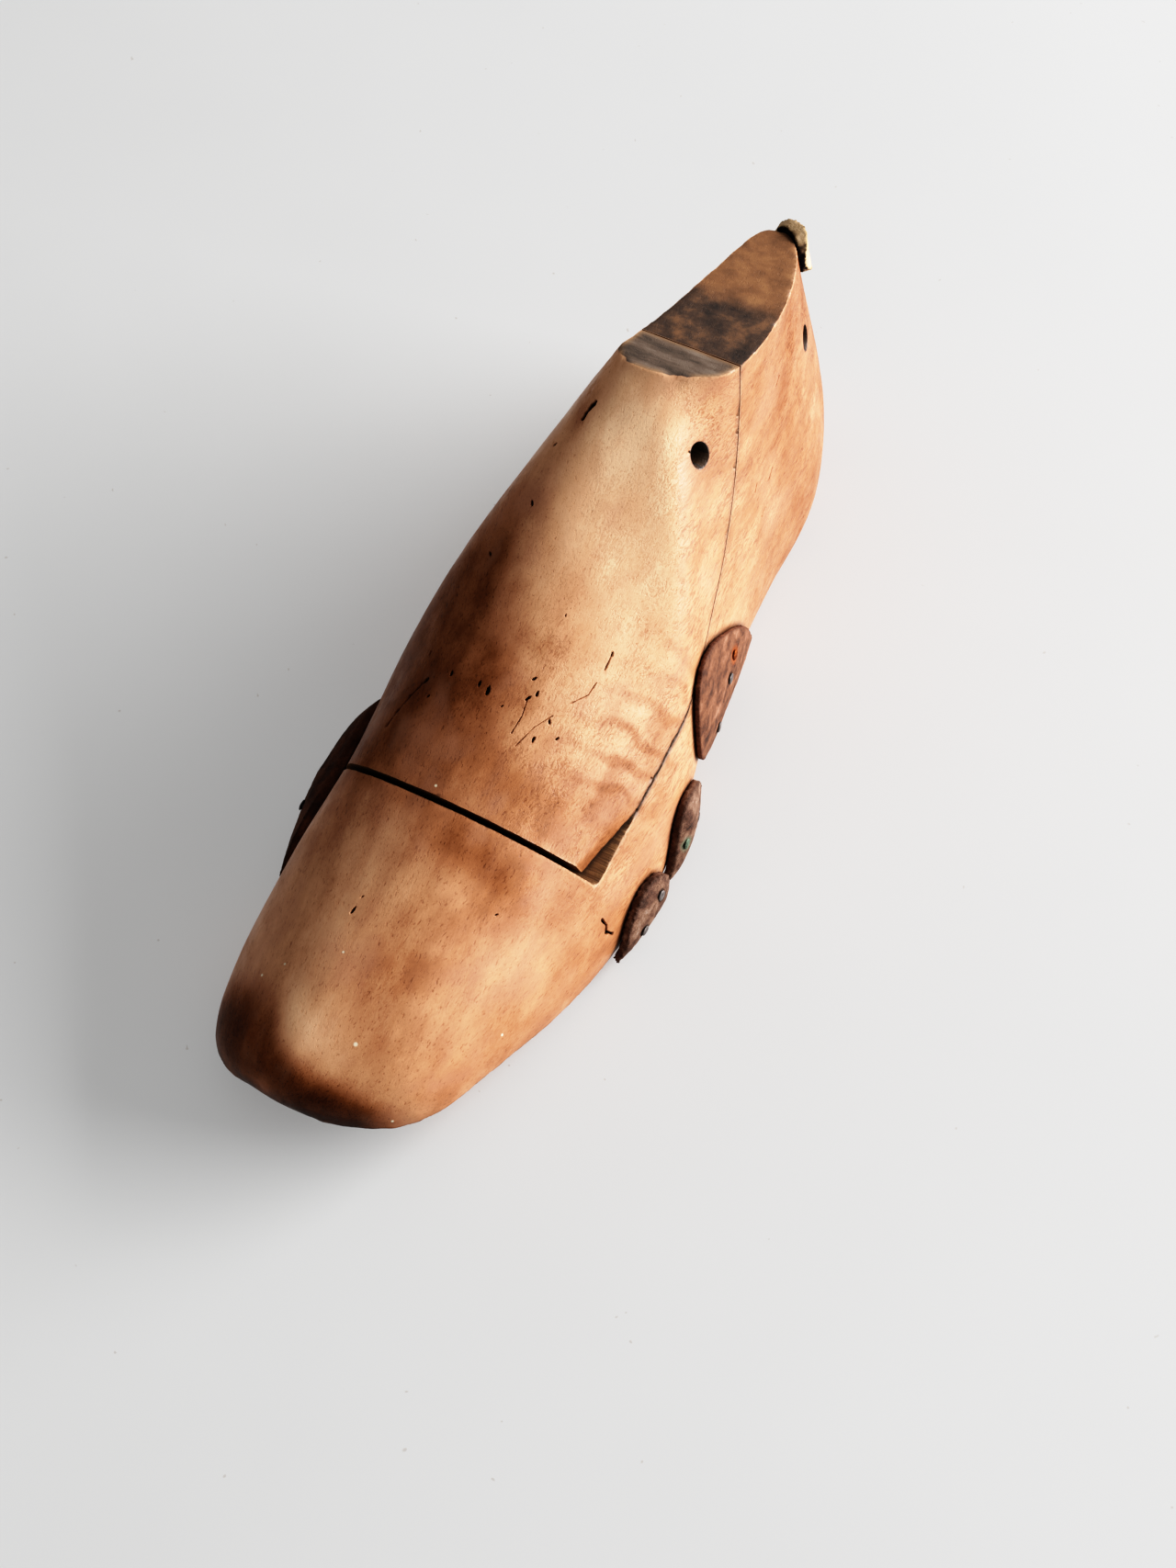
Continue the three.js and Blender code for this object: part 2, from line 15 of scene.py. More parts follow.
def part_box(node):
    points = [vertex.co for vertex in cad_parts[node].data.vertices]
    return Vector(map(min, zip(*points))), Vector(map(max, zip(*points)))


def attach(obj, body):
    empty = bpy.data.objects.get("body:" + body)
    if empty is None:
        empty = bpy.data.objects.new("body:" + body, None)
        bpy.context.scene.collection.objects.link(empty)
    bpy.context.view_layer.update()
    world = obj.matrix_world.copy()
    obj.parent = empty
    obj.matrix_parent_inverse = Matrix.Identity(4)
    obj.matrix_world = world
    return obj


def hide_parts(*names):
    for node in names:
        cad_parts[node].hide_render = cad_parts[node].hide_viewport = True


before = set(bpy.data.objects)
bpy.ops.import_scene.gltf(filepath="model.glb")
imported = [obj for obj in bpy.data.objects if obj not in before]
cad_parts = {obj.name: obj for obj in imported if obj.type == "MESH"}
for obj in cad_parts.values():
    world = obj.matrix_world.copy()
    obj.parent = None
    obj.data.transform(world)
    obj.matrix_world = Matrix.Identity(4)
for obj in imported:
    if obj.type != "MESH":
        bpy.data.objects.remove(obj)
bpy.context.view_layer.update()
MM = 0.001

REST = dict(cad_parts)
CAD_TREES = {
    n: BVHTree.FromObject(o, bpy.context.evaluated_depsgraph_get()) for n, o in REST.items()
}

# ---------------------------------------------------------------- mesh tools


def points_of(mesh):
    co = np.empty(len(mesh.vertices) * 3)
    mesh.vertices.foreach_get("co", co)
    return co.reshape(-1, 3)


def normals_of(mesh):
    out = np.empty(len(mesh.vertices) * 3)
    mesh.vertices.foreach_get("normal", out)
    return out.reshape(-1, 3)


def edges_of(mesh):
    out = np.empty(len(mesh.edges) * 2, int)
    mesh.edges.foreach_get("vertices", out)
    return out.reshape(-1, 2)


def set_points(mesh, co):
    mesh.vertices.foreach_set("co", co.ravel())
    mesh.update()


def set_attributes(mesh, attributes):
    for name, values in attributes.items():
        attribute = mesh.attributes.get(name) or mesh.attributes.new(name, "FLOAT", "POINT")
        attribute.data.foreach_set("value", np.asarray(values, np.float32))


def step(low, high, x):
    t = np.clip((np.asarray(x, float) - low) / (high - low), 0, 1)
    return t * t * (3 - 2 * t)


def noise_at(co_mm, size, seed=0, stretch=(1, 1, 1), octaves=2):
    """Soft noise, about -1 to 1, at each point; size is the blob size in millimetres."""
    offset = Vector((seed * 17.3, seed * -9.1, seed * 5.7))
    scale = [1 / (size * s) for s in stretch]
    out = np.empty(len(co_mm))
    for i, (x, y, z) in enumerate(co_mm):
        place = Vector((x * scale[0], y * scale[1], z * scale[2])) + offset
        out[i] = noise.fractal(place, 1.0, 2.0, octaves)
    return out


def sharp_lines(mesh, degrees):
    """Pairs of points joined by an edge where the surface turns by more than this."""
    limit = math.radians(degrees)
    bm = bmesh.new()
    bm.from_mesh(mesh)
    pairs = [[v.index for v in e.verts] for e in bm.edges if e.calc_face_angle(0) > limit]
    bm.free()
    return np.array(pairs, int).reshape(-1, 2)


def turn_at(mesh):
    """The largest turn of the surface over the edges at each point, in degrees."""
    bm = bmesh.new()
    bm.from_mesh(mesh)
    out = [max((e.calc_face_angle(0) for e in v.link_edges), default=0) for v in bm.verts]
    bm.free()
    return np.degrees(out)


def average(values, pairs, rounds, strength):
    """Moves each value towards the mean of its neighbours over the pairs."""
    n = len(values)
    count = np.bincount(pairs.ravel(), minlength=n).astype(float)
    share = (strength / np.maximum(count, 1))[:, None]
    total = strength * (count > 0)
    for _ in range(rounds):
        near = [
            np.bincount(pairs[:, 0], values[pairs[:, 1], k], n)
            + np.bincount(pairs[:, 1], values[pairs[:, 0], k], n)
            for k in range(3)
        ]
        values = values * (1 - total)[:, None] + np.stack(near, 1) * share
    return values


def soften(values, pairs, rounds=2, strength=0.5):
    """Blurs one value per point over the pairs."""
    return average(np.repeat(values[:, None], 3, 1), pairs, rounds, strength)[:, 0]


def rim_of(mesh, degrees, rounds, strength):
    """1 on the sharp edges, fading out beside them."""
    rim = np.zeros(len(mesh.vertices))
    rim[sharp_lines(mesh, degrees).ravel()] = 1
    return soften(rim, edges_of(mesh), rounds, strength)


WIDEST_SCALE = 0.95  # the largest share of its grid that the remesh modifier lets a piece fill
CORNER_ANGLE = 38
LINE_ROUNDS = 12


def apply_modifiers(piece):
    bpy.context.view_layer.update()
    evaluated = piece.evaluated_get(bpy.context.evaluated_depsgraph_get())
    mesh = bpy.data.meshes.new_from_object(evaluated)
    piece.modifiers.clear()
    piece.data = mesh


def remesh(source, name, cell):
    """A copy of the object as an even mesh of about one cell (mm) that keeps its sharp edges."""
    piece = bpy.data.objects.new(name, source.data.copy())
    bpy.context.scene.collection.objects.link(piece)
    size = max(source.dimensions)
    depth = math.ceil(math.log2(size / (cell * MM * WIDEST_SCALE)))
    modifier = piece.modifiers.new("even", "REMESH")
    modifier.mode = "SHARP"
    modifier.octree_depth = depth
    modifier.scale = size / (cell * MM * 2**depth)
    modifier.use_remove_disconnected = False
    apply_modifiers(piece)
    return piece


def corners_of(node):
    """The places on the CAD surface where three or more sharp edges meet."""
    limit = math.radians(CORNER_ANGLE)
    bm = bmesh.new()
    bm.from_mesh(REST[node].data)
    bmesh.ops.remove_doubles(bm, verts=bm.verts, dist=1e-6)
    sharp = [(v.co.copy(), sum(e.calc_face_angle(0) > limit for e in v.link_edges)) for v in bm.verts]
    bm.free()
    return np.array([place for place, count in sharp if count >= 3]).reshape(-1, 3)


def ease(co, pairs, rounds, free):
    """Smooths over the pairs, then gives the broad shape back; free is how far each point may go."""
    eased = average(co, pairs, rounds, 0.5 * free)
    shrink = average(eased - co, pairs, rounds, 0.5 * free)
    return eased - shrink * free[:, None]


def fair(mesh, node, degrees, rounds):
    """Smooths the facets away and keeps the sharp edges: first along the edges, then between them."""
    co = points_of(mesh)
    off_corner = np.ones(len(co))
    for corner in corners_of(node):
        off_corner = np.minimum(off_corner, step(0.9, 3.0, np.linalg.norm(co - corner, axis=1) / MM))
    lines = sharp_lines(mesh, degrees)
    on_line = np.bincount(lines.ravel(), minlength=len(co))
    smooth_lines = lines[(on_line[lines] >= 2).all(1)]
    co = ease(co, smooth_lines, LINE_ROUNDS, off_corner)
    # an edge that fades out along its length lets go little by little
    sharpness = step(degrees - 6, degrees + 8, turn_at(mesh))
    held = soften(sharpness, sharp_lines(mesh, degrees - 8), 6)
    set_points(mesh, ease(co, edges_of(mesh), rounds, 1 - held))


def stay_near(mesh, node, limit):
    """Brings back every point that smoothing moved further than the limit (mm) from the CAD surface."""
    tree = CAD_TREES[node]
    co = points_of(mesh)
    for i, point in enumerate(co):
        nearest, _, _, gap = tree.find_nearest(Vector(point))
        if gap > limit * MM:
            co[i] = nearest + (Vector(point) - nearest) * (limit * MM / gap)
    set_points(mesh, co)


def smooth_copy(node, name, cell, degrees, rounds, drift):
    """A fine, even copy of a CAD node without its facets, and with its sharp edges."""
    piece = remesh(REST[node], name, cell)
    fair(piece.data, node, degrees, rounds)
    stay_near(piece.data, node, drift)
    return piece


def refine(mesh, near):
    """Splits the faces whose points are all near a feature; near is true or false per point."""
    bm = bmesh.new()
    bm.from_mesh(mesh)
    bm.verts.ensure_lookup_table()
    chosen = [e for e in bm.edges if near[e.verts[0].index] and near[e.verts[1].index]]
    bmesh.ops.subdivide_edges(bm, edges=chosen, cuts=1, use_grid_fill=True)
    bmesh.ops.triangulate(bm, faces=[f for f in bm.faces if len(f.verts) > 4])
    bm.to_mesh(mesh)
    bm.free()


def shade_smooth(mesh, degrees):
    mesh.polygons.foreach_set("use_smooth", [True] * len(mesh.polygons))
    mesh.set_sharp_from_angle(angle=math.radians(degrees))


def stand_in(piece, node, body):
    """Puts the piece in the place of a CAD node."""
    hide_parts(node)
    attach(piece, body)


# ---------------------------------------------------------------- wear on the wood

# Tack and worm holes as (x, y, radius); each is found on the surface below that place.
BLOCK_PITS = [
    (72.5, -15.5, 0.7), (86.5, -14.5, 0.7), (99, -19.5, 0.6), (123, -23.5, 0.6), (127, -15.5, 0.7),
    (130, -21, 0.9), (133.5, -18.5, 0.6), (127, -8, 0.7), (127.5, -5.5, 1.0), (129, -1, 0.4),
    (120, 3, 0.6), (122.5, 5, 0.7), (124.5, 3.5, 0.7), (126, 10, 0.7), (131.5, 8.5, 0.7),
    (128, 13, 0.6), (104.5, 3.5, 0.4), (104.5, 16, 0.6), (138, -24.5, 0.8),
]
BODY_PITS = [(184.5, -11.5, 0.8), (181, -11, 0.5), (168.5, 17.5, 0.4)]
# Long splits as chains of (x, y) places on the surface, with a width.
BLOCK_CRACKS = [
    ([(104.5, 16), (108.5, 16)], 0.35),
    ([(112, 15.5), (115.5, 15), (119.5, 12.5)], 0.25),
    ([(124.5, 10), (129, 7.5), (135, 5.5)], 0.25),
    ([(124.5, 3.5), (128.5, 4), (133, 3.5)], 0.3),
    ([(66, -11.5), (64, -11), (61.5, -10)], 0.9),
    ([(130, -21), (134, -23), (138, -24.5), (142, -25.5)], 0.4),
]
BODY_CRACKS = [
    ([(150.5, 36.5), (150.5, 37.5), (151.5, 38), (150, 39)], 0.8),
    ([(18, 20.1), (20.4, 20.5)], 0.35),
    ([(29.4, 25.1), (32.5, 25.6)], 0.35),
    ([(32.4, 23.8), (35.2, 24.1)], 0.4),
    ([(39.4, 24.9), (41.2, 25.3)], 0.35),
    ([(37, 27), (40, 27.3)], 0.3),
]
# Small spots of bare wood, as (x, y, radius).
BLOCK_NICKS = [(151.5, -7, 0.4)]
BODY_NICKS = [
    (194, -9, 0.35), (201, -21, 0.35), (204.5, -25.5, 0.4), (210, 2.5, 0.6), (188, 28.5, 0.4),
    (218, 15.5, 0.4),
]


def drop(tree, x, y, top=120):
    """The highest point of the surface above (x, y), in millimetres."""
    hit = tree.ray_cast(Vector((x, y, top)) * MM, Vector((0, 0, -1)))[0]
    return np.array(hit) / MM


def distance_to_chain(co, chain):
    """How far each point is from a chain of straight stretches."""
    best = np.full(len(co), 1e9)
    for a, b in zip(chain, chain[1:]):
        along = b - a
        t = np.clip((co - a) @ along / (along @ along), 0, 1)
        best = np.minimum(best, np.linalg.norm(co - (a + t[:, None] * along), axis=1))
    return best


class Wear:
    """The pits, cracks and nicks of one wooden piece, as distances from any point."""

    def __init__(self, mesh_object, pits, cracks, nicks):
        tree = BVHTree.FromObject(mesh_object, bpy.context.evaluated_depsgraph_get())
        self.pits = [(drop(tree, x, y), r) for x, y, r in pits]
        self.nicks = [(drop(tree, x, y), r) for x, y, r in nicks]
        self.cracks = [([drop(tree, x, y) for x, y in chain], w) for chain, w in cracks]

    def near(self, co, reach):
        """True for the points within reach of any mark."""
        close = np.zeros(len(co), bool)
        for place, r in self.pits + self.nicks:
            close |= np.linalg.norm(co - place, axis=1) < r + reach
        for chain, width in self.cracks:
            close |= distance_to_chain(co, chain) < width / 2 + reach
        return close

    def depth(self, co):
        """How far each point sinks, in millimetres, and how dark it is."""
        ragged = noise_at(co, 0.9, 3) * 0.35
        sink = np.zeros(len(co))
        for place, r in self.pits:
            # a pit is longer than it is wide, and each one points its own way
            turn = math.sin(7 * place[0]) * 0.6
            away = co - place
            along = away[:, 0] * math.cos(turn) + away[:, 1] * math.sin(turn)
            across = away[:, 1] * math.cos(turn) - away[:, 0] * math.sin(turn)
            d = np.hypot(np.hypot(along / 1.3, across / 0.5), away[:, 2]) / r + ragged
            sink = np.maximum(sink, 1.6 * r * step(1.1, 0.35, d))
        for chain, width in self.cracks:
            d = distance_to_chain(co, chain) / (width / 2) + ragged + 0.7 * noise_at(co, 2.2, 4)
            sink = np.maximum(sink, 1.5 * width * step(1.3, 0.2, d))
        return sink, step(0.1, 0.7, sink)

    def light(self, co):
        """1 on the nicks of bare wood."""
        nick = np.zeros(len(co))
        for place, r in self.nicks:
            nick = np.maximum(nick, step(1.1, 0.5, np.linalg.norm(co - place, axis=1) / r))
        return nick


# ---------------------------------------------------------------- wooden pieces

WOOD_CELL = 0.85
WOOD_EDGE = 30  # degrees; a sharper turn is an edge
WOOD_DRIFT = 0.45  # how far smoothing may take the wood from the CAD surface
WOOD_ROUNDS = 110
FLAT_ACROSS = 0.02  # a saw cut across the last has no sideways part in its normal
# In front of the kerf the vamp's own surface starts, past this x and above this z.
VAMP_X, VAMP_Z = 148, 38
MARK_REACHES = (1.6, 0.9, 0.5)  # how far around a mark each split of the faces goes
# The middle (x, z) of each hole for the pulling hook, and where its wall turns into its rim.
HOOK_HOLES = [(56.7, 80.5), (-6.1, 61.9)]
HOOK_HOLE_RIM = 3.5
# Each pad's leather label, how rough its face is, how ragged its edge and how far it has swollen.
PADS = {
    "waist_pad": ("brown_leather", 0.10, 0.45, 0.12),
    "ball_pad_rear": ("brown_leather", 0.16, 0.7, 0.40),
    "ball_pad_front": ("brown_leather", 0.14, 0.9, 0.25),
    "bunion_pad": ("dark_leather", 0.16, 0.6, 0.15),
    "heel_pad": ("heel_leather", 0.10, 0.7, 0.15),
}


def gap_to(co, node):
    """How far each point is from a CAD node's surface."""
    tree = CAD_TREES[node]
    return np.array([tree.find_nearest(Vector(p) * MM)[3] for p in co]) / MM


def is_cone_top(normal):
    return normal.z > 0.9 and abs(normal.y) < FLAT_ACROSS and normal.x < -0.2


def sawn_faces(co, node):
    """1 where a point lies on a saw cut: the scoop and its kerf, or the block's underside and front."""
    block_low, block_high = [np.array(corner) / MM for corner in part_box("instep_block")]
    tree = CAD_TREES[node]
    out = np.zeros(len(co))
    for i, p in enumerate(co):
        normal = tree.find_nearest(Vector(p) * MM)[1]
        across = abs(normal.y) < FLAT_ACROSS
        inside = block_low[0] - 2 < p[0] < block_high[0] + 3
        up = normal.z > -0.1 if node == "last_body" else normal.z < 0.5
        on_vamp = node == "last_body" and normal.x > 0 and p[0] > VAMP_X and p[2] > VAMP_Z
        out[i] = across and inside and up and not on_vamp and not is_cone_top(normal)
    return out


def cone_top_faces(co, node):
    tree = CAD_TREES[node]
    return np.array([is_cone_top(tree.find_nearest(Vector(p) * MM)[1]) for p in co], float)


# Patches darkened by handling, or paler where the amount is negative, the pale ones on the toe's top and
# the instep's ridge being painted light: middle, size along each axis and amount.
STAINS_AND_PAINTED_LIGHT = [
    ((126, -4, 60), (24, 14, 20), 0.14),
    ((95, -14, 74), (24, 10, 20), 0.10),
    ((157, 0, 48), (9, 18, 20), 0.14),
    ((166, -24, 40), (16, 12, 20), 0.08),
    ((143, 12, 46), (8, 8, 12), 0.08),
    # painted light: a paler patch on the toe's top, where the light falls on it
    ((213, -12, 31), (9, 11, 6), -0.24),
    ((214, 20, 16), (5, 5, 5), -0.10),
    ((165, 12, 40), (9, 12, 12), 0.09),
    ((134, 28, 36), (10, 9, 12), 0.14),
    ((112, 5, 63), (17, 10, 12), 0.09),
    ((130, -8, 58), (15, 7, 10), 0.10),
    ((64, -11.5, 90), (7, 2.5, 7), 0.22),
    ((190, 6, 36), (24, 9, 10), 0.09),
    ((116, 26, 45), (12, 8, 10), 0.08),
    # painted highlight: paler patches on the instep's ridge below the cone's front
    ((70, -2, 82), (26, 9, 20), -0.10),
    ((65, 3, 88), (8, 9, 6), -0.14),
]


def patina_and_painted_light(co, normal):
    """How dark the wood is painted, 0 for pale honey to 1 for black-brown: patina, with painted shade and
    painted light set by the way each face turns.
    """
    x, y, z = co.T
    outward = normal[:, 1]
    broad = noise_at(co, 34, 1)
    cloud = noise_at(co, 11, 2, octaves=3)
    dark = 0.16 + 0.06 * broad + 0.05 * cloud
    vamp = step(146, 160, x)
    # painted shade on the sides facing the window: the outer side, more so at the heel, and the heel's
    # back
    dark += (0.26 - 0.14 * vamp) * step(0.50, 0.92, outward)
    # painted shade on the vamp's outer half and painted light on its inner half
    dark += 0.06 * vamp * (step(-0.1, 0.25, outward) - step(0.05, -0.35, outward))
    dark += 0.09 * step(60, 20, x) * step(0.3, 0.8, outward)
    dark += 0.22 * step(10, -22, x) * step(-0.1, -0.8, normal[:, 0])
    # the front of the instep, darker; then painted shade on the inner side, away from the window, more on
    # the block
    dark += 0.20 * step(88, 150, x - 0.9 * y) - 0.10 * step(158, 172, x)
    dark += 0.09 * step(-0.05, -0.5, outward)
    dark += 0.17 * (1 - vamp) * step(70, 95, x) * step(0.3, -0.3, outward)
    for middle, size, amount in STAINS_AND_PAINTED_LIGHT:
        dark += amount * np.exp(-(((co - middle) / size) ** 2).sum(1)) * (1 + 0.5 * cloud)
    # painted shade: the dark band low around the toe's tip, and the faces that turn downwards
    band = 27.5 - 0.45 * y
    dark += 0.46 * step(band, band - 6, z) * step(200, 216, x) * step(20, 8, y)
    dark += 0.20 * step(0.35, -0.1, normal[:, 2]) * step(190, 205, x) * step(24, 10, y)
    dark += 0.20 * step(0.0, -0.75, normal[:, 2])
    # curly figure at the block's outer front
    ripple_place = np.exp(-(((co - [116, 27, 44]) / [22, 14, 16]) ** 2).sum(1))
    ripple = np.sin((x + 0.5 * y) * 0.85 + 2.2 * noise_at(co, 8, 5))
    dark += 0.14 * ripple_place * step(-0.2, 0.9, ripple)
    return np.clip(dark, 0, 1)


def from_hook_hole(co):
    """How far each point is from the axis of the nearer hook hole."""
    return np.min([np.hypot(co[:, 0] - x, co[:, 2] - z) for x, z in HOOK_HOLES], axis=0)


def pad_dirt_and_contact_shade(co):
    """1 beside the pads: dirt gathered there, and painted contact shade where the pads meet the wood."""
    grime = np.zeros(len(co))
    for pad_name in PADS:
        low, high = [np.array(corner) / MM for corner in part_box(pad_name)]
        by = ((co > low - 3) & (co < high + 3)).all(1)
        grime[by] = np.maximum(grime[by], step(1.5, 0.3, gap_to(co[by], pad_name)))
    return grime


def refine_marks(mesh, wear):
    """Splits the faces at the marks three times, and those at the hook holes twice."""
    for reach in MARK_REACHES:
        co = points_of(mesh) / MM
        finest = reach == MARK_REACHES[-1]
        by_hole = (from_hook_hole(co) < HOOK_HOLE_RIM + 0.1 + reach) & (not finest)
        refine(mesh, wear.near(co, reach) | by_hole)


def round_edges(co, edges, rim, seam_gap):
    """Wears the sharp edges down unevenly, and less beside the seam."""
    worn = average(co, edges, 3, 0.45)
    bite = np.clip(0.55 + 0.9 * noise_at(co, 5, 7), 0, 1)
    tight = 0.25 + 0.75 * step(0.6, 2.5, seam_gap)
    return co + (worn - co) * (np.clip(rim * 1.8, 0, 1) * bite * tight)[:, None]


def wooden(node, other, body, marks):
    """The worn wooden piece that stands for a CAD node; other is the piece across the seam."""
    piece = smooth_copy(node, node + "_wood", WOOD_CELL, WOOD_EDGE, WOOD_ROUNDS, WOOD_DRIFT)
    mesh = piece.data
    wear = Wear(piece, *marks)
    refine_marks(mesh, wear)
    co = points_of(mesh) / MM
    normal = normals_of(mesh)
    edges = edges_of(mesh)
    rim = rim_of(mesh, WOOD_EDGE + 5, 2, 0.6)
    on_edge = sharp_lines(mesh, WOOD_EDGE + 5).ravel()
    seam_gap = gap_to(co, other)
    co = round_edges(co, edges, rim, seam_gap)
    # hand-turned surface: slow waves and fine grain
    swell = 0.10 * noise_at(co, 16, 8) + 0.035 * noise_at(co, 3.2, 9, stretch=(4, 1, 1))
    sink, hole = wear.depth(co)
    # the seam's lower edges are splintered
    splinter = step(0.9, 0.3, seam_gap) * step(80, 105, co[:, 0]) * step(148, 143, co[:, 0])
    sink += 0.8 * rim * splinter * np.clip(0.4 + noise_at(co, 2.2, 21, octaves=3), 0, 1)
    sawn = sawn_faces(co, node)
    cone_top = cone_top_faces(co, node)
    # an edge belongs half to each of its two faces
    sawn[on_edge] = 0.5
    cone_top[on_edge] = 0.5
    saw_marks = 0.03 * noise_at(co, 0.9, 10, stretch=(1, 30, 1))
    swell = np.where(sawn > 0, saw_marks, swell)
    co = co + normal * (swell * (1 - rim) - sink)[:, None]
    set_points(mesh, co * MM)
    set_attributes(mesh, {
        "patina_and_painted_light": patina_and_painted_light(co, normal),
        "sawn": soften(sawn, edges),
        "cone_top": soften(cone_top, edges),
        "raw": 0.3 + 0.7 * step(0.15, 0.6, normal[:, 1]) * step(165, 130, co[:, 0]),
        "hole": hole,
        "nick": wear.light(co),
        "rim": np.clip(rim * 1.5, 0, 1),
        "seam": step(1.6, 0.2, seam_gap) * (0.45 + 0.5 * splinter),
        "bore": step(HOOK_HOLE_RIM, HOOK_HOLE_RIM - 0.35, from_hook_hole(co)),
        # dirt, and painted contact shade where the pads meet the wood
        "grime": pad_dirt_and_contact_shade(co),
    })
    shade_smooth(mesh, 45)
    stand_in(piece, node, body)
    return piece


body_marks = (BODY_PITS, BODY_CRACKS, BODY_NICKS)
block_marks = (BLOCK_PITS, BLOCK_CRACKS, BLOCK_NICKS)
body_wood = wooden("last_body", "instep_block", "last", body_marks)
block_wood = wooden("instep_block", "last_body", "block", block_marks)

# ---------------------------------------------------------------- leather pads

LEATHER_CELL = 0.36
LEATHER_EDGE = 50  # degrees; a sharper turn is an edge
LEATHER_DRIFT = 0.12  # how far smoothing may take the leather from the CAD surface
LEATHER_ROUNDS = 25
DIMPLE = 0.18  # how deep each tack has pulled the leather in
HEAD_UNDER_TOP = 0.7  # the CAD head's height, from its flat underside to its crown
TACK_STAINS = {"waist_pad_tack_2": "rust", "ball_pad_rear_tack_1": "green"}
# From where a stain starts to where it is full, from the tack's axis.
STAIN_REACH = {"ring": (2.1, 1.5), "rust": (3.4, 1.2), "green": (2.6, 1.4)}


def tacks_of(pad):
    """Each tack of a pad: the middle of its head's underside and the direction out of the wood."""
    found = {}
    for tack_name in REST:
        if tack_name.startswith(pad + "_tack"):
            co = points_of(REST[tack_name].data) / MM
            middle = co.mean(0)
            axis = np.linalg.svd(co - middle, full_matrices=False)[2][0]
            along = (co - middle) @ axis
            radius = np.linalg.norm(co - middle - along[:, None] * axis, axis=1)
            if along[radius.argmax()] < 0:
                axis, along = -axis, -along
            found[tack_name] = (middle + axis * (along.max() - HEAD_UNDER_TOP), axis)
    return found


def leather(name, slot_name, roughness, ragged, swollen):
    """The swollen, frayed pad that stands for a CAD node."""
    piece = smooth_copy(
        name, name + "_leather", LEATHER_CELL, LEATHER_EDGE, LEATHER_ROUNDS, LEATHER_DRIFT
    )
    mesh = piece.data
    co = points_of(mesh) / MM
    rim = rim_of(mesh, LEATHER_EDGE - 10, 3, 0.5)
    worn = average(co, edges_of(mesh), 3, 0.4)
    co = co + (worn - co) * np.clip(rim * 2, 0, 1)[:, None]
    set_points(mesh, co * MM)
    normal = normals_of(mesh)
    swell = roughness * (0.6 * noise_at(co, 5, 11) + 0.4 * noise_at(co, 1.3, 12, octaves=3))
    fray = ragged * rim * noise_at(co, 0.8, 13, octaves=3)
    stains = {kind: np.zeros(len(co)) for kind in STAIN_REACH}
    for tack_name, (foot, axis) in tacks_of(name).items():
        across = np.linalg.norm(np.cross(co - foot, axis), axis=1) + 0.35 * noise_at(co, 0.8, 14)
        kind = TACK_STAINS.get(tack_name, "ring")
        stains[kind] = np.maximum(stains[kind], step(*STAIN_REACH[kind], across))
        swell -= DIMPLE * step(2.4, 1.3, across)
    co = co + normal * (swollen + swell + fray)[:, None]
    set_points(mesh, co * MM)
    # the heel pad is black inside, and painted darker brown on its back, which faces the window: painted
    # shade
    is_heel = name == "heel_pad"
    inside = is_heel * step(0.40, 0.75, normal[:, 0] + 0.15 * noise_at(co, 1.5, 15))
    back = is_heel * step(-0.3, -0.8, normal[:, 0])
    rim = np.clip(rim * 1.6, 0, 1)
    set_attributes(mesh, {"rim": rim, "grain_side": inside, "painted_back_shade": back, **stains})
    shade_smooth(mesh, 60)
    stand_in(piece, name, "last")
    return piece


# A tack's outline from crown to point: radius and height above the head's underside.
TACK_OUTLINE = [
    (0, 0.30), (0.4, 0.29), (0.8, 0.26), (1.15, 0.19), (1.36, 0.1), (1.42, -0.02), (1.38, -0.14),
    (1.2, -0.22), (0.55, -0.26), (0.5, -0.5), (0.46, -3), (0.4, -6.5), (0.18, -8.4), (0, -9.2),
]
HEAD_POINTS = 8  # the outline's points that belong to the head
TACK_SIDES = 28


def tack(name, foot, axis):
    """A hand-struck tack with a dented head, turned out of the outline above."""
    bm = bmesh.new()
    rings = []
    for i, (radius, height) in enumerate(TACK_OUTLINE):
        if radius == 0:
            rings.append([bm.verts.new((0, 0, height))] * TACK_SIDES)
            continue
        ring = []
        for k in range(TACK_SIDES):
            a = 2 * math.pi * k / TACK_SIDES
            place = Vector((math.cos(a), math.sin(a), 0)) * radius + Vector((0, 0, height))
            dent = 0.09 * noise.noise((place + Vector(foot)) * 1.1) if i < HEAD_POINTS else 0
            ring.append(bm.verts.new(place * (1 + dent)))
        rings.append(ring)
    for upper, lower in zip(rings, rings[1:]):
        for k in range(TACK_SIDES):
            corners = [upper[k], lower[k], lower[(k + 1) % TACK_SIDES], upper[(k + 1) % TACK_SIDES]]
            bm.faces.new(list(dict.fromkeys(corners)))
    turn = Vector((0, 0, 1)).rotation_difference(Vector(axis)).to_matrix().to_4x4()
    bm.transform(Matrix.Scale(MM, 4) @ Matrix.Translation(foot) @ turn)
    mesh = bpy.data.meshes.new(name)
    bm.to_mesh(mesh)
    bm.free()
    piece = bpy.data.objects.new(name, mesh)
    bpy.context.scene.collection.objects.link(piece)
    shade_smooth(mesh, 60)
    return piece


pads = {}
tacks = []
for pad_name, look in PADS.items():
    pads[pad_name] = leather(pad_name, *look)
    for tack_name, (foot, axis) in tacks_of(pad_name).items():
        piece = tack(tack_name + "_iron", foot, axis)
        stand_in(piece, tack_name, "last")
        tacks.append(piece)

# ---------------------------------------------------------------- materials

SEAM_AT_TOP = 37.9  # where the saw cut crosses the cone's top


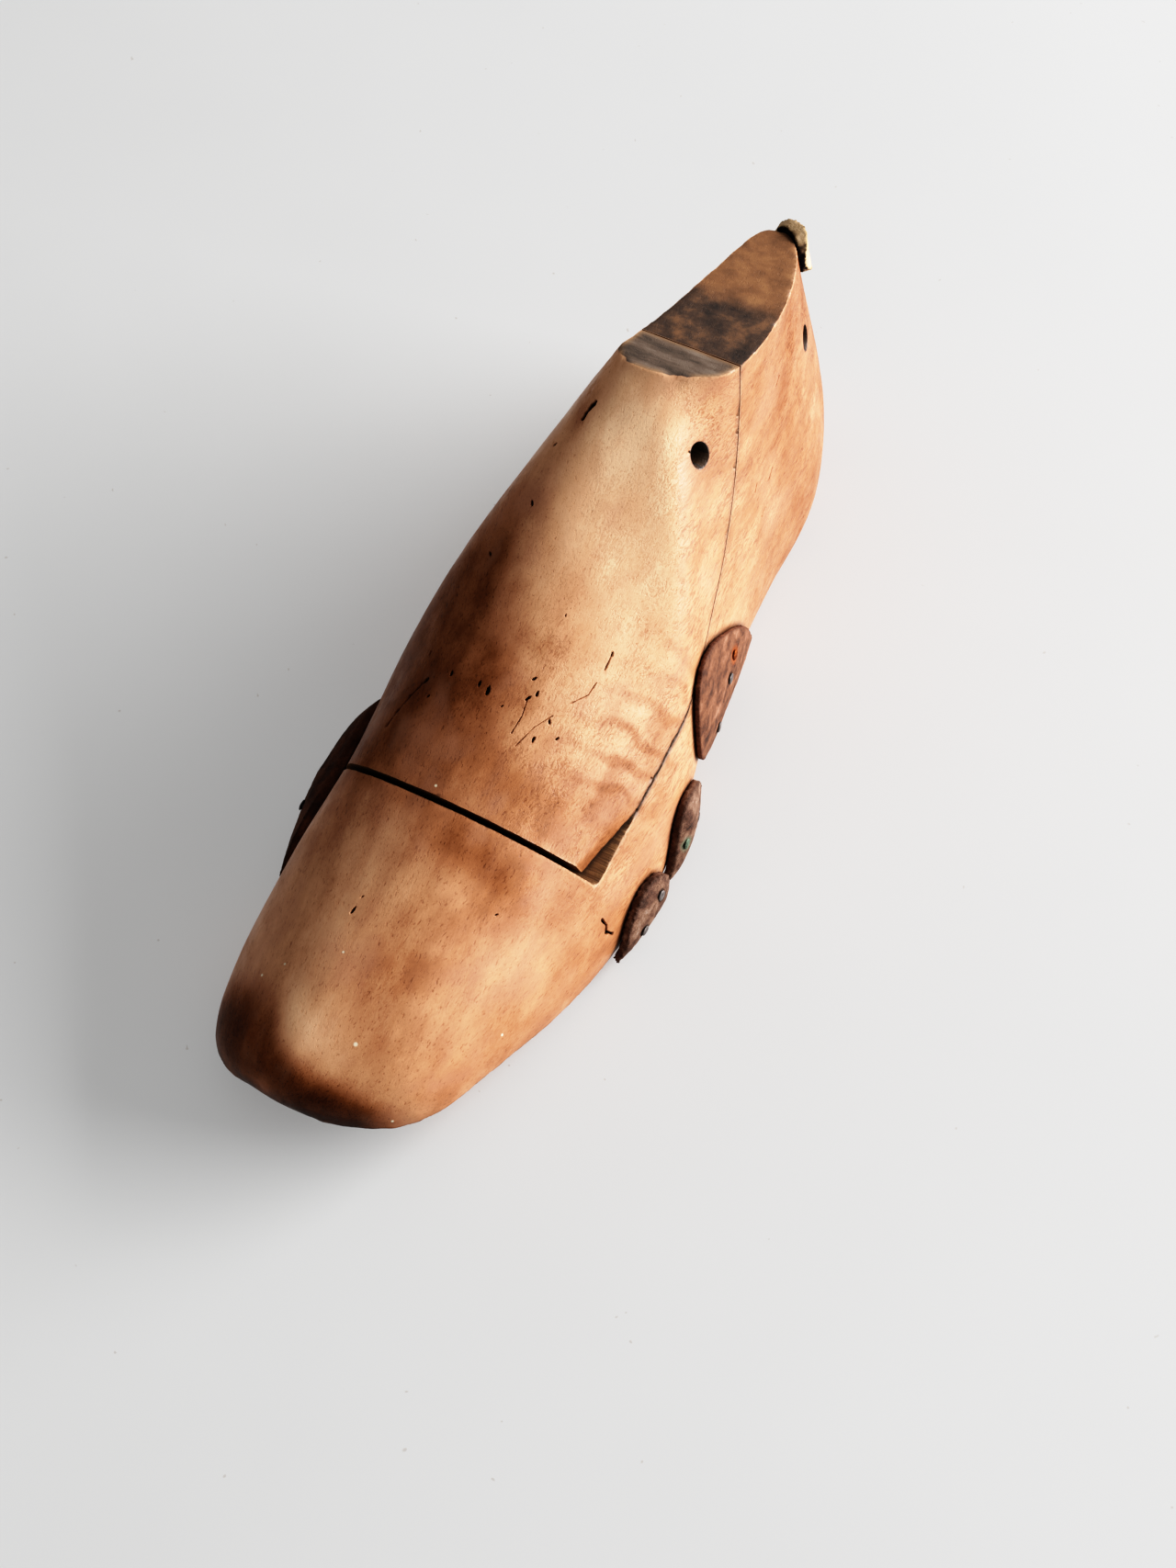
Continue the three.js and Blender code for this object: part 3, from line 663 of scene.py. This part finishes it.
class Nodes:
    """Short names for building a material's node tree."""

    def __init__(self, name):
        self.material = bpy.data.materials.new(name)
        self.material.use_nodes = True
        self.tree = self.material.node_tree
        self.tree.nodes.clear()
        self.output = self.tree.nodes.new("ShaderNodeOutputMaterial")
        self.shader = self.tree.nodes.new("ShaderNodeBsdfPrincipled")
        self.link(self.shader.outputs[0], self.output.inputs[0])

    def link(self, source, target):
        self.tree.links.new(source, target)

    def put(self, target, value):
        if isinstance(value, bpy.types.NodeSocket):
            self.link(value, target)
        else:
            target.default_value = value

    def node(self, kind, inputs=(), **settings):
        made = self.tree.nodes.new("ShaderNode" + kind)
        for key, value in settings.items():
            setattr(made, key, value)
        for key, value in dict(inputs).items():
            self.put(made.inputs[key], value)
        return made

    def attribute(self, name):
        return self.node("Attribute", attribute_name=name).outputs["Fac"]

    def vector(self, operation, a, b):
        return self.node("VectorMath", {0: a, 1: b}, operation=operation).outputs[0]

    def place(self, scale, wobble=0.0, wobble_scale=0.2):
        """The point in millimetres, scaled along each axis and optionally bent by noise."""
        point = self.node("TexCoord").outputs["Object"]
        mm = self.vector("MULTIPLY", point, (1 / MM,) * 3)
        if wobble:
            cloud = self.node("TexNoise", {"Vector": mm, "Scale": wobble_scale, "Detail": 2.0})
            bend = self.vector("SUBTRACT", cloud.outputs["Color"], (0.5, 0.5, 0.5))
            bend = self.vector("MULTIPLY", bend, (wobble,) * 3)
            mm = self.vector("ADD", mm, bend)
        return self.vector("MULTIPLY", mm, scale)

    def noise(self, place, detail=3.0, roughness=0.5):
        values = {"Vector": place, "Scale": 1.0, "Detail": detail, "Roughness": roughness}
        return self.node("TexNoise", values).outputs["Fac"]

    def cells(self, place):
        """How far each place is from the nearest of a scatter of points."""
        return self.node("TexVoronoi", {"Vector": place, "Scale": 1.0}).outputs["Distance"]

    def math(self, operation, a, b=0.0, clamp=False):
        return self.node("Math", {0: a, 1: b}, operation=operation, use_clamp=clamp).outputs[0]

    def spread(self, value, low, high, to_low=0.0, to_high=1.0):
        """The value eased from one range to another."""
        inputs = {"Value": value, "From Min": low, "From Max": high, "To Min": to_low, "To Max": to_high}
        return self.node("MapRange", inputs, interpolation_type="SMOOTHSTEP").outputs[0]

    def ramp(self, value, stops):
        made = self.node("ValToRGB", {"Fac": value})
        elements = made.color_ramp.elements
        while len(elements) < len(stops):
            elements.new(0.5)
        for element, (position, colour) in zip(elements, stops):
            element.position = position
            element.color = (*colour, 1)
        return made.outputs["Color"]

    def add(self, tone, change, share, middle=0.0):
        """The tone plus a share of how far the change lies from its middle."""
        away = self.math("SUBTRACT", change, middle) if middle else change
        return self.math("ADD", tone, self.math("MULTIPLY", away, share))

    def mix(self, share, a, b):
        made = self.node("Mix", data_type="RGBA", blend_type="MIX")
        self.put(made.inputs["Factor"], share)
        for key, value in ((6, a), (7, b)):
            self.put(made.inputs[key], value if isinstance(value, bpy.types.NodeSocket) else (*value, 1))
        return made.outputs[2]

    def bump(self, height, distance, strength):
        inputs = {"Height": height, "Distance": distance, "Strength": strength}
        return self.node("Bump", inputs).outputs[0]

    def finish(self, **inputs):
        for key, value in inputs.items():
            self.put(self.shader.inputs[key.replace("_", " ")], value)
        return self.material


def wood_colour(n, dark, mottle, fibres, fleck, hair, raised):
    """Bare to blackened maple: the patina with its painted shade and painted light, varied by the figure
    of the wood.
    """
    figure_place = n.place((0.03, 0.22, 0.16), wobble=5.0, wobble_scale=0.05)
    figure = n.noise(figure_place, detail=4.0, roughness=0.55)
    speck = n.noise(n.place((1.1, 2.2, 2.2)), detail=1.0)
    tone = n.add(dark, figure, 0.26, middle=0.5)
    tone = n.add(tone, mottle, 0.22, middle=0.5)
    tone = n.add(tone, fibres, 0.10, middle=0.5)
    tone = n.add(tone, fleck, 0.14)
    tone = n.add(tone, n.math("MULTIPLY", n.math("SUBTRACT", hair, 0.4), 0.15), raised)
    tone = n.math("ADD", tone, n.math("MULTIPLY", n.spread(speck, 0.72, 0.8), 0.12), clamp=True)
    colour = n.ramp(tone, [
        (0.0, (0.98, 0.64, 0.40)),
        (0.09, (0.83, 0.485, 0.285)),
        (0.27, (0.67, 0.345, 0.185)),
        (0.45, (0.43, 0.178, 0.079)),
        (0.65, (0.20, 0.065, 0.020)),
        (0.84, (0.066, 0.017, 0.004)),
        (1.0, (0.022, 0.007, 0.003)),
    ])
    pink = n.spread(n.noise(n.place((0.06, 0.09, 0.09)), detail=3.0), 0.5, 0.75, 0.0, 0.35)
    return n.mix(pink, colour, (0.58, 0.29, 0.18))


def cone_top_colour(n):
    """The cone's grimy top: brown at the heel, dark before the saw cut, streaked grey on the block."""
    grime_place = n.place((0.16, 0.16, 0.16), wobble=4.0, wobble_scale=0.1)
    grime = n.noise(grime_place, detail=6.0, roughness=0.65)
    brown = n.ramp(grime, [
        (0.34, (0.15, 0.068, 0.028)),
        (0.50, (0.22, 0.100, 0.042)),
        (0.68, (0.29, 0.140, 0.060)),
    ])
    black = n.ramp(grime, [
        (0.34, (0.022, 0.013, 0.009)),
        (0.52, (0.075, 0.040, 0.024)),
        (0.70, (0.19, 0.095, 0.045)),
    ])
    streak_place = n.place((0.32, 0.05, 0.32), wobble=3.0, wobble_scale=0.15)
    streaks = n.noise(streak_place, detail=5.0, roughness=0.6)
    grey = n.ramp(streaks, [
        (0.33, (0.050, 0.034, 0.025)),
        (0.5, (0.125, 0.086, 0.062)),
        (0.70, (0.22, 0.165, 0.130)),
    ])
    grey = n.mix(n.math("MULTIPLY", n.attribute("rim"), 0.75), grey, (0.46, 0.26, 0.13))
    bent_place = n.place((1, 1, 1), wobble=9.0, wobble_scale=0.12)
    bent_x = n.node("SeparateXYZ", {0: bent_place}).outputs["X"]
    true_x = n.node("SeparateXYZ", {0: n.place((1, 1, 1))}).outputs["X"]
    colour = n.mix(n.spread(bent_x, 8, 20), brown, black)
    return n.mix(n.spread(true_x, SEAM_AT_TOP - 0.5, SEAM_AT_TOP + 0.5), colour, grey)


def with_dirt_and_contact_shade(n, colour):
    """Dirt in the seam, dirt and painted contact shade by the pads, dirt in the holes, and bare wood in
    the nicks.
    """
    colour = n.mix(n.attribute("seam"), colour, (0.060, 0.027, 0.012))
    colour = n.mix(n.attribute("hole"), colour, (0.012, 0.006, 0.003))
    # dirt, and painted contact shade, beside the pads
    colour = n.mix(n.math("MULTIPLY", n.attribute("grime"), 0.9), colour, (0.035, 0.014, 0.006))
    colour = n.mix(n.math("MULTIPLY", n.attribute("bore"), 0.93), colour, (0.016, 0.008, 0.004))
    return n.mix(n.attribute("nick"), colour, (0.85, 0.74, 0.55))


def wood_material(name):
    n = Nodes(name)
    # the patina, with painted shade and painted light in it
    dark = n.attribute("patina_and_painted_light")
    fleck_place = n.place((0.40, 2.2, 2.2), wobble=1.2, wobble_scale=0.12)
    fleck = n.spread(n.noise(fleck_place, detail=2.0, roughness=0.6), 0.56, 0.74)
    mottle = n.noise(n.place((0.12, 0.18, 0.18), wobble=3.0), detail=4.0, roughness=0.6)
    fibres = n.noise(n.place((0.12, 5.0, 5.0), wobble=0.8), detail=3.0, roughness=0.7)
    hair_place = n.place((0.33, 2.1, 2.1), wobble=1.6, wobble_scale=0.25)
    hair = n.spread(n.noise(hair_place, detail=2.0, roughness=0.7), 0.42, 0.66)
    patches = n.spread(n.noise(n.place((0.09, 0.13, 0.13))), 0.38, 0.62, 0.35, 1.0)
    raised = n.math("MULTIPLY", n.attribute("raw"), patches)
    colour = wood_colour(n, dark, mottle, fibres, fleck, hair, raised)
    # saw cuts are duller brown, with tooth marks across the last
    teeth = n.noise(n.place((2.4, 0.05, 2.4), wobble=0.5), detail=3.0, roughness=0.7)
    cut_colour = n.ramp(teeth, [
        (0.3, (0.085, 0.037, 0.014)),
        (0.55, (0.22, 0.11, 0.045)),
        (0.75, (0.36, 0.20, 0.09)),
    ])
    sawn = n.spread(n.attribute("sawn"), 0.35, 0.65)
    cone_top = n.spread(n.attribute("cone_top"), 0.35, 0.65)
    colour = n.mix(sawn, colour, cut_colour)
    colour = n.mix(cone_top, colour, cone_top_colour(n))
    colour = with_dirt_and_contact_shade(n, colour)
    rough = n.spread(mottle, 0.3, 0.7, 0.34, 0.52)
    rough = n.math("MAXIMUM", rough, n.math("MULTIPLY", sawn, 0.8))
    rough = n.math("MAXIMUM", rough, n.math("MULTIPLY", cone_top, 0.62))
    height = n.add(n.math("MULTIPLY", fibres, 0.5), fleck, -0.6)
    height = n.add(height, n.math("MULTIPLY", hair, raised), -0.9)
    height = n.add(height, n.math("MULTIPLY", teeth, sawn), 2.5)
    gloss = n.spread(dark, 0.35, 0.62, 0.5, 0.12)
    normal = n.bump(height, 0.00009, 0.6)
    return n.finish(Base_Color=colour, Roughness=rough, Normal=normal, Specular_IOR_Level=gloss)


def leather_material(name, tones, edge_tone, roughness=(0.5, 0.8)):
    n = Nodes(name)
    cloud = n.noise(n.place((0.17, 0.30, 0.30), wobble=3.0), detail=6.0, roughness=0.68)
    grain = n.cells(n.place((1.6, 1.6, 1.6), wobble=0.4, wobble_scale=1.0))
    pores = n.noise(n.place((4.0, 4.0, 4.0)), detail=4.0, roughness=0.7)
    tone = n.math("ADD", n.math("MULTIPLY", cloud, 0.75), n.math("MULTIPLY", pores, 0.25))
    colour = n.ramp(tone, tones)
    streak = n.noise(n.place((1.2, 1.2, 9.0), wobble=0.5), detail=3.0)
    edge = n.ramp(streak, [(0.35, tuple(c * 0.4 for c in edge_tone)), (0.65, edge_tone)])
    colour = n.mix(n.attribute("rim"), colour, edge)
    colour = n.mix(n.attribute("grain_side"), colour, (0.014, 0.009, 0.008))
    # painted shade: darker brown on the heel pad's back, which faces the window
    painted_back_shade = n.ramp(tone, [(0.38, (0.13, 0.055, 0.022)), (0.62, (0.34, 0.17, 0.075))])
    colour = n.mix(n.math("MULTIPLY", n.attribute("painted_back_shade"), 0.9), colour, painted_back_shade)
    colour = n.mix(n.math("MULTIPLY", n.attribute("ring"), 0.7), colour, (0.012, 0.008, 0.007))
    colour = n.mix(n.math("MULTIPLY", n.attribute("rust"), 0.75), colour, (0.36, 0.085, 0.018))
    colour = n.mix(n.math("MULTIPLY", n.attribute("green"), 0.7), colour, (0.14, 0.17, 0.12))
    rough = n.spread(pores, 0.3, 0.7, *roughness)
    height = n.add(pores, grain, 0.5)
    normal = n.bump(height, 0.00016, 0.8)
    return n.finish(Base_Color=colour, Roughness=rough, Normal=normal, Specular_IOR_Level=0.12)


def metal_material(name, dark, bright, roughness):
    n = Nodes(name)
    cloud = n.noise(n.place((0.6, 0.6, 0.6), wobble=0.6, wobble_scale=0.6), detail=6.0, roughness=0.7)
    fine = n.noise(n.place((6, 6, 6)), detail=3.0)
    colour = n.ramp(cloud, [(0.35, dark), (0.65, bright)])
    rough = n.spread(cloud, 0.35, 0.65, roughness + 0.2, roughness)
    return n.finish(Base_Color=colour, Roughness=rough, Metallic=0.9, Normal=n.bump(fine, 0.00004, 0.5))


def dress(thing, material):
    thing.data.materials.clear()
    thing.data.materials.append(material)


wood = wood_material("worn_maple")
dress(body_wood, wood)
dress(block_wood, wood)

BROWN = [
    (0.36, (0.040, 0.020, 0.015)),
    (0.46, (0.125, 0.054, 0.032)),
    (0.56, (0.23, 0.100, 0.057)),
    (0.68, (0.36, 0.21, 0.145)),
]
GREYED = [
    (0.36, (0.022, 0.014, 0.012)),
    (0.47, (0.10, 0.050, 0.034)),
    (0.57, (0.22, 0.125, 0.085)),
    (0.68, (0.34, 0.26, 0.21)),
]
BLACK = [(0.35, (0.030, 0.012, 0.007)), (0.52, (0.085, 0.030, 0.014)), (0.68, (0.17, 0.065, 0.030))]
TAN = [(0.35, (0.40, 0.25, 0.13)), (0.52, (0.68, 0.48, 0.30)), (0.68, (0.80, 0.63, 0.44))]
brown_leather = leather_material("brown_leather", BROWN, (0.14, 0.055, 0.032))
dark_leather = leather_material("dark_leather", BLACK, (0.05, 0.020, 0.010), (0.6, 0.85))
tan_leather = leather_material("tan_leather", TAN, (0.55, 0.38, 0.2), (0.75, 0.95))
greyed_leather = leather_material("greyed_leather", GREYED, (0.12, 0.06, 0.04))
dress(pads["waist_pad"], brown_leather)
dress(pads["ball_pad_rear"], greyed_leather)
dress(pads["ball_pad_front"], greyed_leather)
dress(pads["bunion_pad"], dark_leather)
dress(pads["heel_pad"], tan_leather)

rusty = metal_material("rusty_iron", (0.10, 0.022, 0.008), (0.42, 0.13, 0.035), 0.6)
green = metal_material("green_crust", (0.06, 0.075, 0.055), (0.24, 0.32, 0.23), 0.6)
iron = metal_material("tack_iron", (0.08, 0.068, 0.064), (0.24, 0.21, 0.20), 0.6)
steel = metal_material("pin_steel", (0.16, 0.14, 0.12), (0.55, 0.54, 0.52), 0.28)
brass = metal_material("tarnished_brass", (0.16, 0.09, 0.03), (0.62, 0.42, 0.16), 0.32)
for piece in tacks:
    kind = TACK_STAINS.get(piece.name.removesuffix("_iron"))
    dress(piece, {"rust": rusty, "green": green}.get(kind, iron))
for node_name in ("locating_pin", "block_plate", "plate_screw_rear", "plate_screw_front", "catch_spring"):
    dress(REST[node_name], brass if "plate" in node_name else steel)
    shade_smooth(REST[node_name].data, 55)

# ---------------------------------------------------------------- floor, light and camera

FLOOR_REACH = 3.0
MIDDLE = (0.1, 0.0, 0.04)  # of the last, where the window points
WINDOW_PLACE = (-0.80, 1.10, 0.50)
WINDOW_SIZE = (1.5, 0.85)
WINDOW_POWER = 60
ROOM_LIGHT = 0.06
CEILING_LIGHT = 0.42
BACKDROP_LIGHT = 0.62
PRINT_TONES = ((0.03, 0.010), (0.10, 0.060), (0.25, 0.225), (0.5, 0.52), (0.8, 0.80))
WHITEST = (1.6, 1.0)
LENS = 52.28
CAMERA_PLACE = (0.38896, 0.14616, 0.50413)
CAMERA_RIGHT = (-0.44305, 0.89646, 0.00783)
CAMERA_UP = (-0.76018, -0.38029, 0.52679)
CAMERA_BACK = (0.47523, 0.22744, 0.84996)


def floor_material():
    n = Nodes("pale_glowing_board")
    cloud = n.noise(n.place((0.01, 0.01, 0.01)), detail=4.0)
    colour = n.ramp(cloud, [(0.3, (0.493, 0.493, 0.491)), (0.7, (0.507, 0.507, 0.505))])
    specks = n.spread(n.cells(n.place((0.09, 0.09, 0.09), wobble=5)), 0.045, 0.02, 0, 0.5)
    colour = n.mix(specks, colour, (0.32, 0.28, 0.25))
    # painted light: the floor glows in its own colour, which lifts the shadows cast on it
    n.put(n.shader.inputs["Emission Color"], colour)
    return n.finish(Base_Color=colour, Roughness=0.6, Emission_Strength=0.46)


def add_to_scene(name, data):
    thing = bpy.data.objects.new(name, data)
    bpy.context.scene.collection.objects.link(thing)
    return thing


def add_floor():
    mesh = bpy.data.meshes.new("floor")
    far = FLOOR_REACH
    corners = [(-far, -far, 0), (far, -far, 0), (far, far, 0), (-far, far, 0)]
    mesh.from_pydata(corners, [], [(0, 1, 2, 3)])
    floor = add_to_scene("floor", mesh)
    dress(floor, floor_material())


def add_window():
    """One low window behind the heel on the outer side."""
    data = bpy.data.lights.new("window", "AREA")
    data.shape = "RECTANGLE"
    data.size, data.size_y = WINDOW_SIZE
    data.energy = WINDOW_POWER
    window = add_to_scene("window", data)
    window.location = WINDOW_PLACE
    shining = Vector(MIDDLE) - Vector(WINDOW_PLACE)
    window.rotation_euler = shining.to_track_quat("-Z", "Y").to_euler()


def add_ceiling():
    """A pale ceiling over a dim room, with a pale backdrop that only the camera sees."""
    world = bpy.data.worlds.new("studio")
    world.use_nodes = True
    tree = world.node_tree
    direction = tree.nodes.new("ShaderNodeTexCoord")
    height = tree.nodes.new("ShaderNodeSeparateXYZ")
    tree.links.new(direction.outputs["Generated"], height.inputs[0])
    strength = tree.nodes.new("ShaderNodeMapRange")
    strength.inputs["To Min"].default_value = ROOM_LIGHT
    strength.inputs["To Max"].default_value = CEILING_LIGHT
    tree.links.new(height.outputs["Z"], strength.inputs["Value"])
    seen = tree.nodes.new("ShaderNodeLightPath")
    backdrop = tree.nodes.new("ShaderNodeMath")
    backdrop.operation = "MULTIPLY"
    backdrop.inputs[1].default_value = BACKDROP_LIGHT
    tree.links.new(seen.outputs["Is Camera Ray"], backdrop.inputs[0])
    brighter = tree.nodes.new("ShaderNodeMath")
    brighter.operation = "MAXIMUM"
    tree.links.new(strength.outputs[0], brighter.inputs[0])
    tree.links.new(backdrop.outputs[0], brighter.inputs[1])
    background = tree.nodes["Background"]
    background.inputs["Color"].default_value = (1, 1, 1, 1)
    tree.links.new(brighter.outputs[0], background.inputs["Strength"])
    bpy.context.scene.world = world


def set_tones():
    """A print with firm contrast: dark tones deepen and the brightest ones roll off."""
    view = bpy.context.scene.view_settings
    view.view_transform = "Standard"
    view.use_curve_mapping = True
    tones = view.curve_mapping
    tones.use_clip = False
    tones.clip_max_x = 2
    curve = tones.curves[3]
    for scene_tone, print_tone in PRINT_TONES:
        curve.points.new(scene_tone, print_tone)
    curve.points[-1].location = WHITEST
    tones.update()


def add_camera():
    data = bpy.data.cameras.new("camera")
    data.lens = LENS
    data.sensor_width = 36
    data.clip_start = 0.01
    camera = add_to_scene("camera", data)
    turn = Matrix((CAMERA_RIGHT, CAMERA_UP, CAMERA_BACK)).transposed().to_4x4()
    camera.matrix_world = Matrix.Translation(CAMERA_PLACE) @ turn
    bpy.context.scene.camera = camera


add_floor()
add_window()
add_ceiling()
set_tones()
add_camera()
